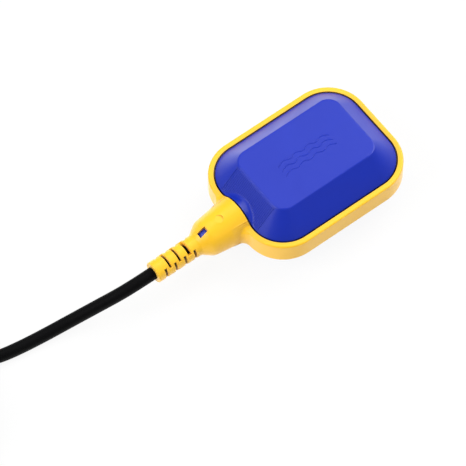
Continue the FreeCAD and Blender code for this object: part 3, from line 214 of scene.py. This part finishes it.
def moulded(name, colour, flow, wear_and_highlight, roughness, grain_mm, depth_mm,
            shade_share=0.75, shine=0.5, sheen=0.0):
    """Moulded plastic or rubber. Flow marks vary its colour and gloss, the mould's grain its skin,
    and a Bevel node rounds its edges and paints them paler, part wear and part painted highlight.
    Narrow gaps and crevices are painted darker as shade."""
    material, tree = new_material(name)
    place = add_node(tree, "TexCoord").outputs["Object"]
    marks = add_node(tree, "TexNoise", {
        "Scale": 1 / (FLOW_MARKS_MM * MM), "Detail": 2.0, "Distortion": 0.6,
    }, {"Vector": place}).outputs["Fac"]
    rounded = add_node(tree, "Bevel", {"samples": 4, "Radius": EDGE_RADIUS}).outputs["Normal"]
    true = add_node(tree, "NewGeometry").outputs["Normal"]
    along = add_node(tree, "VectorMath", {"operation": "DOT_PRODUCT"}, {0: rounded, 1: true})
    # Painted highlight and wear: edges that the Bevel node rounds turn towards the paler colour.
    paler_edge = add_node(tree, "MapRange", {
        "From Min": EDGE_STARTS, "From Max": EDGE_FULL, "To Min": 0.0, "To Max": WEAR_AND_HIGHLIGHT_SHARE,
    }, {"Value": along.outputs["Value"]})
    # Painted shade: where the ambient occlusion finds a place closed in, the colour darkens towards
    # near black.
    corner = add_node(tree, "AmbientOcclusion", {"samples": 4, "Distance": PAINTED_SHADE_REACH})
    painted_shade = add_node(tree, "MapRange", {
        "From Min": PAINTED_SHADE_FULL, "From Max": PAINTED_SHADE_ENDS, "To Min": shade_share, "To Max": 0.0,
    }, {"Value": corner.outputs["AO"]})
    body = add_node(tree, "Mix", {
        "data_type": "RGBA", MIX_FIRST: hex_colour(colour), MIX_SECOND: hex_colour(flow),
    }, {MIX_SHARE: marks})
    worn_and_highlit = add_node(tree, "Mix", {"data_type": "RGBA", MIX_SECOND: hex_colour(wear_and_highlight)},
                    {MIX_SHARE: paler_edge.outputs[0], MIX_FIRST: body.outputs[MIX_RESULT]})
    shaded = add_node(tree, "Mix", {"data_type": "RGBA", MIX_SECOND: hex_colour(PAINTED_SHADE_COLOUR)},
                     {MIX_SHARE: painted_shade.outputs[0], MIX_FIRST: worn_and_highlit.outputs[MIX_RESULT]})
    gloss = add_node(tree, "MapRange", {
        "From Min": FLOW_LOW, "From Max": FLOW_HIGH,
        "To Min": roughness - GLOSS_SWING, "To Max": roughness + GLOSS_SWING,
    }, {"Value": marks})
    grain = add_node(tree, "TexNoise", {"Scale": 1 / (grain_mm * MM), "Detail": 3.0},
                     {"Vector": place})
    skin = add_node(tree, "Bump", {"Distance": depth_mm * MM},
                    {"Height": grain.outputs["Fac"], "Normal": rounded})
    shader = add_node(tree, "BsdfPrincipled", {
        "IOR": MOULDED_IOR, "Specular IOR Level": shine,
        "Sheen Weight": sheen, "Sheen Roughness": 0.4,
    }, {
        "Base Color": shaded.outputs[MIX_RESULT], "Roughness": gloss.outputs[0],
        "Normal": skin.outputs[0],
    })
    add_node(tree, "OutputMaterial", {}, {"Surface": shader.outputs[0]})
    return material


# The shells' gaps and crevices get a lighter painted shade, so that their ribs stay light.
polypropylene = moulded(
    "moulded_polypropylene_blue", SHELL_BLUE, SHELL_FLOW, SHELL_WEAR_AND_HIGHLIGHT,
    roughness=0.33, grain_mm=0.35, depth_mm=0.006, shade_share=0.6, shine=0.3)
put_material(polypropylene, nodes["upper_shell"], nodes["lower_shell"])


def smooth_line(name, points, dimensions, steps):
    """A curve object with one smooth line through control points, in metres."""
    curve = bpy.data.curves.new(name, "CURVE")
    curve.dimensions = dimensions
    spline = curve.splines.new("NURBS")
    spline.points.add(len(points) - 1)
    for point, place in zip(spline.points, points):
        point.co = (*place, 1)
    spline.order_u = 3
    spline.use_endpoint_u = True
    spline.resolution_u = steps
    line = bpy.data.objects.new(name, curve)
    scene.collection.objects.link(line)
    return line


def smooth_tube(name, points, radius, around):
    """A round tube along a smooth line. Its points carry the tube's radius, so that the curve's
    own box fits the tube."""
    tube = smooth_line(name, points, "3D", steps=6)
    for point in tube.data.splines[0].points:
        point.radius = radius
    tube.data.bevel_depth = 1.0
    tube.data.bevel_resolution = around
    tube.data.use_fill_caps = True
    return tube


def pick(*pieces):
    """Selects these pieces alone, with the first one active."""
    bpy.ops.object.select_all(action="DESELECT")
    for piece in pieces:
        piece.select_set(True)
    bpy.context.view_layer.objects.active = pieces[0]


# Three low wavy ridges on the flat top, raised in the mould: the usual sign for water.
WAVE_HALF = 18 * MM
WAVE_LENGTH = 9 * MM
WAVE_SWING = 1.5 * MM
WAVE_SPACING = 3.6 * MM
RIDGE_RADIUS = 0.35 * MM
RIDGE_SUNK = 0.17 * MM
ROUND_ANGLE = math.radians(50)
shell_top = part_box("upper_shell")[1].z
ridges = []
for row in (-1, 0, 1):
    crests = []
    for count in range(int(4 * WAVE_HALF / WAVE_LENGTH) + 1):
        along = count * WAVE_LENGTH / 2 - WAVE_HALF
        swing = WAVE_SWING if count % 2 else -WAVE_SWING
        crests.append((along, row * WAVE_SPACING + swing, shell_top - RIDGE_SUNK))
    ridges.append(smooth_tube("wave_ridge", crests, RIDGE_RADIUS, around=3))
pick(*ridges)
bpy.ops.object.convert(target="MESH")
bpy.ops.object.join()
waves = bpy.context.object
waves.name = "wave_ridges"
bpy.ops.object.shade_smooth_by_angle(angle=ROUND_ANGLE)
put_material(polypropylene, waves)
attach(waves, "float")


# ---------------------------------------------------------------- guard frame
# One flexible yellow elastomer moulding snapped round the shells: ring, neck and strain relief.
# It is a little softer and duller than the shells, with a bloom at grazing angles.
GUARD_YELLOW = "#FFC81C"
GUARD_FLOW = "#FBC010"
# The frame's edges are painted near white as a highlight line.
GUARD_EDGE_HIGHLIGHT = "#FFF0B8"

# The frame's gaps and crevices get the full painted shade.
elastomer = moulded(
    "moulded_elastomer_yellow", GUARD_YELLOW, GUARD_FLOW, GUARD_EDGE_HIGHLIGHT,
    roughness=0.42, grain_mm=0.4, depth_mm=0.008, shade_share=1.0, sheen=0.4)
put_material(elastomer, nodes["guard_frame"])


# ---------------------------------------------------------------- cable seal and clamp
# A moulded nitrile rubber sleeve and a zinc-plated steel washer close the stem round the sheath.
# Inside, a bridge under two zinc-plated screws grips the cable.
nitrile = moulded(
    "moulded_nitrile_black", "#181818", "#131313", "#2A2A2A",
    roughness=0.7, grain_mm=0.3, depth_mm=0.01)
put_material(nitrile, nodes["cable_seal"])

CLOUD_MM = 6  # size of the brighter and duller patches on bare metal
CLOUD_BRIGHT, CLOUD_DULL = 0.75, 1.3  # their roughness against the metal's own


def worked_metal(name, colour, roughness, line_mm, stretch, depth_mm):
    """Bare metal with fine lines along one axis from rolling, turning or polishing."""
    material, tree = new_material(name)
    place = add_node(tree, "TexCoord").outputs["Object"]
    drawn = add_node(tree, "Mapping", {"Scale": stretch}, {"Vector": place})
    lines = add_node(tree, "TexNoise", {
        "Scale": 1 / (line_mm * MM), "Detail": 4.0, "Roughness": 0.6,
    }, {"Vector": drawn.outputs[0]})
    cloud = add_node(tree, "TexNoise", {"Scale": 1 / (CLOUD_MM * MM), "Detail": 2.0},
                     {"Vector": place})
    gloss = add_node(tree, "MapRange", {
        "To Min": roughness * CLOUD_BRIGHT, "To Max": roughness * CLOUD_DULL,
    }, {"Value": cloud.outputs["Fac"]})
    skin = add_node(tree, "Bump", {"Distance": depth_mm * MM}, {"Height": lines.outputs["Fac"]})
    shader = add_node(tree, "BsdfPrincipled", {"Base Color": hex_colour(colour), "Metallic": 1.0},
                      {"Roughness": gloss.outputs[0], "Normal": skin.outputs[0]})
    add_node(tree, "OutputMaterial", {}, {"Surface": shader.outputs[0]})
    return material


# Zinc-plated steel: bright and slightly blue, with the lines of rolling.
zinc = worked_metal("zinc_plated_steel", "#C9CCD1",
                    roughness=0.28, line_mm=0.25, stretch=(1.0, 1.0, 0.08), depth_mm=0.002)
put_material(zinc, *(nodes[name] for name in (
    "seal_washer", "clamp_screws", "capsule_screws", "switch_screws", "lever_pin", "switch_lever")))


# ---------------------------------------------------------------- switch capsule
# Tray, lid and clamp bridge moulded in natural ABS, which stays creamy and faintly marbled.
# The tray holds the ball's track and the snap switch, and the lid is screwed down on it.
natural_abs = moulded(
    "moulded_abs_natural", "#DAD6C6", "#CFCAB8", "#E8E5DA",
    roughness=0.4, grain_mm=0.4, depth_mm=0.006)
put_material(natural_abs, nodes["capsule_tray"], nodes["capsule_lid"], nodes["cable_clamp"])


# ---------------------------------------------------------------- snap switch
# A bought-in snap switch, screwed into the tray, and the loose ball that works it by its lever.
# Case and cover are pressed from black phenolic resin, with a fine pale filler in it.
phenolic = moulded(
    "pressed_phenolic_black", "#1E1D1D", "#282726", "#4A4846",
    roughness=0.5, grain_mm=0.15, depth_mm=0.012)
put_material(phenolic, nodes["switch_case"], nodes["switch_cover"])

# Terminals, contact blade and receptacles stamped from brass strip, with the lines of rolling.
brass = worked_metal("stamped_brass", "#D8B36A",
                     roughness=0.3, line_mm=0.2, stretch=(0.1, 1.0, 1.0), depth_mm=0.002)
put_material(brass, *(nodes[name] for name in (
    "common_terminal", "open_contact", "closed_contact", "contact_blade", "receptacles")))

# Plunger moulded in red acetal, which is slippery and fairly glossy.
acetal = moulded(
    "moulded_acetal_red", "#C0241B", "#B01F18", "#D8564B",
    roughness=0.3, grain_mm=0.5, depth_mm=0.003)
put_material(acetal, nodes["switch_plunger"])

# Solid bearing ball, ground and polished to a mirror with only hair-fine scratches.
bearing_steel = worked_metal("polished_bearing_steel", "#D3D5D8",
                             roughness=0.07, line_mm=0.12, stretch=(1.0, 0.1, 1.0), depth_mm=0.0004)
put_material(bearing_steel, nodes["ball"])


# ---------------------------------------------------------------- cores and free end
# Three PVC-insulated cores run from the sheath to the switch, and three stripped ends leave the
# sheath's far end. The insulation is extruded, so it is smooth and fairly glossy.
EXTRUDED_IOR = 1.52
EXTRUDED_WAVES_MM = 3
EXTRUDED_SWING = 0.06


def extruded(name, colour, darker, roughness, speck_mm, depth_mm, shine=0.5):
    """Extruded insulation with faint waves in its skin."""
    material, tree = new_material(name)
    place = add_node(tree, "TexCoord").outputs["Object"]
    waves = add_node(tree, "TexNoise", {"Scale": 1 / (EXTRUDED_WAVES_MM * MM), "Detail": 2.0},
                     {"Vector": place})
    tone = add_node(tree, "Mix", {
        "data_type": "RGBA", MIX_FIRST: hex_colour(colour), MIX_SECOND: hex_colour(darker),
    }, {MIX_SHARE: waves.outputs["Fac"]})
    specks = add_node(tree, "TexNoise", {"Scale": 1 / (speck_mm * MM), "Detail": 3.0},
                      {"Vector": place})
    gloss = add_node(tree, "MapRange", {
        "To Min": roughness - EXTRUDED_SWING, "To Max": roughness + EXTRUDED_SWING,
    }, {"Value": specks.outputs["Fac"]})
    skin = add_node(tree, "Bump", {"Distance": depth_mm * MM}, {"Height": specks.outputs["Fac"]})
    shader = add_node(tree, "BsdfPrincipled", {"IOR": EXTRUDED_IOR, "Specular IOR Level": shine}, {
        "Base Color": tone.outputs[MIX_RESULT], "Roughness": gloss.outputs[0],
        "Normal": skin.outputs[0],
    })
    add_node(tree, "OutputMaterial", {}, {"Surface": shader.outputs[0]})
    return material


CORE_COLOURS = {
    "brown": ("#5A3420", "#4C2A19"),
    "blue": ("#1E62C4", "#1955AE"),
    "black": ("#151515", "#1D1D1D"),
}
insulation = {}
for hue, (colour, darker) in CORE_COLOURS.items():
    insulation[hue] = extruded("extruded_pvc_" + hue, colour, darker,
                               roughness=0.32, speck_mm=0.4, depth_mm=0.004)
    put_material(insulation[hue], nodes["core_" + hue])

# Where each core leaves the sheath and how it fans out on the table, from the sheath's end.
SHEATH_END = Vector((-328.0, 66.8, 3.8)) * MM
CORE_RADIUS = 1.1 * MM
TAIL_ROUTES_MM = {
    "brown": [(0, 1.65, 0.95), (-6, 1.65, 0.95), (-13, 2.9, -0.8), (-21, 4.8, -2.5),
              (-29, 6.6, -2.7)],
    "blue": [(0, -1.65, 0.95), (-6.5, -1.65, 0.95), (-14, -3.6, -1), (-22.5, -7.8, -2.6),
             (-31, -13.6, -2.7)],
    "black": [(0, 0, -1.9), (-8, 0, -1.9), (-17, 0.5, -2.6), (-27, -0.5, -2.7),
              (-37, -0.3, -2.7)],
}

# Soft tinned copper, silvery and a little dull: six strands twisted round a seventh in each core.
STRAND_RADIUS = 0.2 * MM
STRAND_SIDES = 14
STRIPPED_LENGTH = 8 * MM
STRAND_TWIST = math.radians(230)
TWIST_STEPS = 24
SIXTH = 60  # degrees between neighbours in a ring of six

tinned = worked_metal("tinned_copper", "#C8C6C0",
                      roughness=0.35, line_mm=0.2, stretch=(0.15, 1.0, 1.0), depth_mm=0.004)
bpy.ops.object.select_all(action="DESELECT")
bpy.ops.mesh.primitive_circle_add(vertices=STRAND_SIDES, radius=STRAND_RADIUS)
bundle = bpy.context.object
bpy.ops.object.mode_set(mode="EDIT")
for degrees in range(0, 360, SIXTH):
    angle = math.radians(degrees)
    bpy.ops.mesh.primitive_circle_add(
        vertices=STRAND_SIDES, radius=STRAND_RADIUS,
        location=(2 * STRAND_RADIUS * math.cos(angle), 2 * STRAND_RADIUS * math.sin(angle), 0))
bpy.ops.object.mode_set(mode="OBJECT")
sweep = bundle.modifiers.new("twist", "SCREW")
sweep.axis = "Z"
sweep.angle = STRAND_TWIST
sweep.screw_offset = STRIPPED_LENGTH
sweep.steps = sweep.render_steps = TWIST_STEPS
bpy.ops.object.modifier_apply(modifier="twist")
bpy.ops.object.mode_set(mode="EDIT")
bpy.ops.mesh.select_all(action="SELECT")
bpy.ops.mesh.fill_holes(sides=0)
bpy.ops.mesh.normals_make_consistent(inside=False)
bpy.ops.object.mode_set(mode="OBJECT")
bpy.ops.object.shade_smooth_by_angle(angle=ROUND_ANGLE)

free_end = []
for hue, points in TAIL_ROUTES_MM.items():
    places = [SHEATH_END + Vector(point) * MM for point in points]
    tail = smooth_tube("free_core_" + hue, places, CORE_RADIUS, around=5)
    put_material(insulation[hue], tail)
    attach(tail, "float")
    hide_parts("tail_" + hue)
    pick(bundle)
    bpy.ops.object.duplicate()
    strands = bpy.context.object
    strands.name = "tinned_strands_" + hue
    strands.rotation_euler = (places[-1] - places[-2]).to_track_quat("Z", "Y").to_euler()
    strands.location = places[-1]
    bpy.ops.object.transform_apply(location=True, rotation=True, scale=True)
    put_material(tinned, strands)
    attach(strands, "float")
    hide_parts("tinned_ends")
    free_end += [tail, strands]
bpy.data.objects.remove(bundle)


# ---------------------------------------------------------------- cable
# Two metres of round three-core lead in extruded black rubber. It runs straight out of the
# strain relief, sinks to the table and ends in a strapped coil, with its free end beside it.
CABLE_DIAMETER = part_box("cable_entry")[1].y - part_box("cable_entry")[0].y
CABLE_ROUTE_MM = [
    (-108.5, 0.0, 21.2),
    (-119.5, 0.0, 21.2),
    (-131.0, 1.6, 18.6),
    (-143.5, 5.6, 12.8),
    (-158.1, 9.7, 7.1),
    (-173.4, 12.4, 4.2),
    (-189.0, 14.3, 3.8),
    (-204.2, 16.9, 3.8),
    (-217.5, 22.4, 3.8),
    (-229.1, 31.2, 4.1),
    (-238.7, 39.6, 4.6),
    (-245.8, 46.6, 5.0),
]
END_ROUTE_MM = [
    (-277.5, 63.5, 11.5),
    (-290.5, 63.9, 10.1),
    (-303.0, 65.4, 6.2),
    (-315.5, 66.8, 3.8),
    (-328.0, 66.8, 3.8),
]
# The seven turns lie in a bundle three cables wide, each layer nested in the one below.
coil_low, coil_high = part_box("cable_coil")
coil_centre = (coil_low + coil_high) / 2
BUNDLE_RISE = math.sqrt(3) / 2 * CABLE_DIAMETER
coil_middle = (coil_high.x - coil_low.x) / 2 - 1.5 * CABLE_DIAMETER
# Each turn's seat in the bundle: diameters out from its middle, and layers above the middle one.
SEATS = [(0.5, -1), (-0.5, -1), (-1, 0), (0, 0), (-0.5, 1), (0.5, 1), (1, 0)]
POINTS_PER_TURN = 16
FIRST_ANGLE = 45  # degrees from +X where the cable reaches the coil
LAST_ANGLE = 90  # and where it leaves it
CROSSING = 70  # degrees over which a turn climbs to its next seat


def coil_points():
    """Control points of the wound turns, in metres, from the cable's arrival to its free end."""
    step = 360 / POINTS_PER_TURN
    # A smooth line touches the sides between its control points, so these lie further out.
    spread_out = 1 / math.cos(math.pi / POINTS_PER_TURN)
    points = []
    for count in range(1, int((360 * len(SEATS) + LAST_ANGLE - FIRST_ANGLE) / step)):
        gone = count * step
        turn = min(int(gone // 360), len(SEATS) - 1)
        out, layer = SEATS[turn]
        left = 360 * (turn + 1) - gone
        if turn + 1 < len(SEATS) and left < CROSSING:
            share = 1 - left / CROSSING
            ease = share * share * (3 - 2 * share)
            next_out, next_layer = SEATS[turn + 1]
            out, layer = out + (next_out - out) * ease, layer + (next_layer - layer) * ease
        radius = (coil_middle + out * CABLE_DIAMETER) * spread_out
        angle = math.radians(FIRST_ANGLE + gone)
        points.append((
            coil_centre.x + radius * math.cos(angle),
            coil_centre.y + radius * math.sin(angle),
            coil_centre.z + layer * BUNDLE_RISE,
        ))
    return points


route = [Vector(point) * MM for point in CABLE_ROUTE_MM]
route += [Vector(point) for point in coil_points()]
route += [Vector(point) * MM for point in END_ROUTE_MM]
sheath = smooth_tube("cable_sheath", route, CABLE_DIAMETER / 2, around=6)
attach(sheath, "float")
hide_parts("cable", "cable_coil", "cable_end")

# Extruded black rubber: matte, with faint waves and very fine pits.
rubber = extruded("extruded_rubber_black", "#050506", "#080809",
                  roughness=0.6, speck_mm=0.25, depth_mm=0.012, shine=0.06)
put_material(rubber, sheath, nodes["cable_entry"])

# The sheath's wall stands a little past the cores' filling where it was cut.
CUT_WALL = 0.7 * MM
CUT_DEPTH = 1.2 * MM
CUT_ROUNDING = 0.15 * MM
CUT_SIDES = 48
EDGE_ANGLE = math.radians(40)


def thicken(piece, thickness, offset, rounding):
    """Gives a bent sheet its thickness and rounds the edges it gets."""
    sheet = piece.modifiers.new("sheet", "SOLIDIFY")
    sheet.thickness = thickness
    sheet.offset = offset
    rim = piece.modifiers.new("rim", "BEVEL")
    rim.width = rounding
    rim.segments = 2
    rim.limit_method = "ANGLE"
    pick(piece)
    bpy.ops.object.modifier_apply(modifier="sheet")
    bpy.ops.object.modifier_apply(modifier="rim")
    bpy.ops.object.shade_smooth_by_angle(angle=EDGE_ANGLE)


bpy.ops.object.select_all(action="DESELECT")
bpy.ops.mesh.primitive_cylinder_add(
    vertices=CUT_SIDES, radius=CABLE_DIAMETER / 2, depth=CUT_DEPTH, end_fill_type="NOTHING",
    location=SHEATH_END - Vector((CUT_DEPTH / 2, 0, 0)), rotation=(0, math.pi / 2, 0))
cut = bpy.context.object
cut.name = "cut_sheath_wall"
bpy.ops.object.transform_apply(location=True, rotation=True, scale=True)
thicken(cut, CUT_WALL, -1, CUT_ROUNDING)
put_material(rubber, cut)
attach(cut, "float")


# ---------------------------------------------------------------- coil straps
# Two black hook-and-loop straps hold the coil's seven turns, one on each side. Each goes once round
# the bundle and laps over itself as far as the middle of the top.
STRAP_WIDTH = 8 * MM
STRAP_THICK = 0.9 * MM
STRAP_ROUNDING = 0.25 * MM
STRAP_OUT = CABLE_DIAMETER / 2 + 0.5 * MM  # from a turn's middle to the middle of the strap
LAP_OUT = 1.0 * MM  # how much further out the lap lies
LAST_CORNER = 420  # degrees from the bundle's outer side to the lap's second corner
HALF_SIXTH = SIXTH // 2

start = STRAP_OUT + BUNDLE_RISE
strap_line = [tuple(start * f(math.radians(-HALF_SIXTH)) for f in (math.cos, math.sin))]
for corner in range(0, LAST_CORNER + 1, SIXTH):
    out = STRAP_OUT + (LAP_OUT if corner >= 360 else 0)
    furthest = out / math.cos(math.radians(HALF_SIXTH))
    for turn, reach in ((-HALF_SIXTH, out), (0, furthest), (HALF_SIXTH, out)):
        strap_line.append(tuple(
            CABLE_DIAMETER * f(math.radians(corner)) + reach * f(math.radians(corner + turn))
            for f in (math.cos, math.sin)))
strap_line.append((0.0, STRAP_OUT + LAP_OUT + BUNDLE_RISE))
strap = smooth_line("coil_straps", [(x, y, 0) for x, y in strap_line], "2D", steps=5)
strap.data.extrude = STRAP_WIDTH / 2
pick(strap)
bpy.ops.object.convert(target="MESH")
strap = bpy.context.object
strap.rotation_euler = (math.pi / 2, 0, 0)
strap.location = (coil_centre.x + coil_middle, coil_centre.y, coil_centre.z)
bpy.ops.object.transform_apply(location=True, rotation=True, scale=True)
thicken(strap, STRAP_THICK, 0, STRAP_ROUNDING)
# The same strap again on the coil's other side.
bpy.ops.object.duplicate()
bpy.ops.transform.rotate(value=math.pi, orient_axis="Z", center_override=coil_centre)
other = bpy.context.object
pick(strap, other)
bpy.ops.object.join()
bpy.ops.object.transform_apply(location=True, rotation=True, scale=True)
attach(strap, "float")
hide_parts("coil_ties")

# Woven nylon with a pile of fine loops and a little lint: dull, dark, with a soft sheen.
PILE_TOP = "#2B2B2E"
# Painted shade: the loops' feet darken towards this colour, standing in for the shade between them.
PILE_SHADE = "#0E0E10"
PILE_LINT = "#3A3A3C"
PILE_DEPTH = 0.15 * MM
LOOP_MM = 0.45
LOOP_FOOT = 0.6  # distance from a loop's middle to its foot, in loops
LINT_MM = 5
LINT_STARTS, LINT_FULL, LINT_SHARE = 0.55, 0.75, 0.4

pile, tree = new_material("looped_nylon_black")
place = add_node(tree, "TexCoord").outputs["Object"]
loops = add_node(tree, "TexVoronoi", {"Scale": 1 / (LOOP_MM * MM), "Randomness": 0.8},
                 {"Vector": place}).outputs["Distance"]
# Painted shade: darker towards each loop's foot.
depth = add_node(tree, "MapRange", {"From Max": LOOP_FOOT}, {"Value": loops})
cloud = add_node(tree, "TexNoise", {"Scale": 1 / (LINT_MM * MM), "Detail": 3.0}, {"Vector": place})
lint = add_node(tree, "MapRange", {
    "From Min": LINT_STARTS, "From Max": LINT_FULL, "To Max": LINT_SHARE,
}, {"Value": cloud.outputs["Fac"]})
tone = add_node(tree, "Mix", {
    "data_type": "RGBA", MIX_FIRST: hex_colour(PILE_TOP), MIX_SECOND: hex_colour(PILE_SHADE),
}, {MIX_SHARE: depth.outputs[0]})
dusty = add_node(tree, "Mix", {"data_type": "RGBA", MIX_SECOND: hex_colour(PILE_LINT)},
                 {MIX_SHARE: lint.outputs[0], MIX_FIRST: tone.outputs[MIX_RESULT]})
fuzz = add_node(tree, "Bump", {"Distance": PILE_DEPTH, "invert": True}, {"Height": loops})
shader = add_node(tree, "BsdfPrincipled", {
    "Roughness": 0.85, "Sheen Weight": 0.4, "Sheen Roughness": 0.5, "Specular IOR Level": 0.25,
}, {"Base Color": dusty.outputs[MIX_RESULT], "Normal": fuzz.outputs[0]})
add_node(tree, "OutputMaterial", {}, {"Surface": shader.outputs[0]})
put_material(pile, strap)
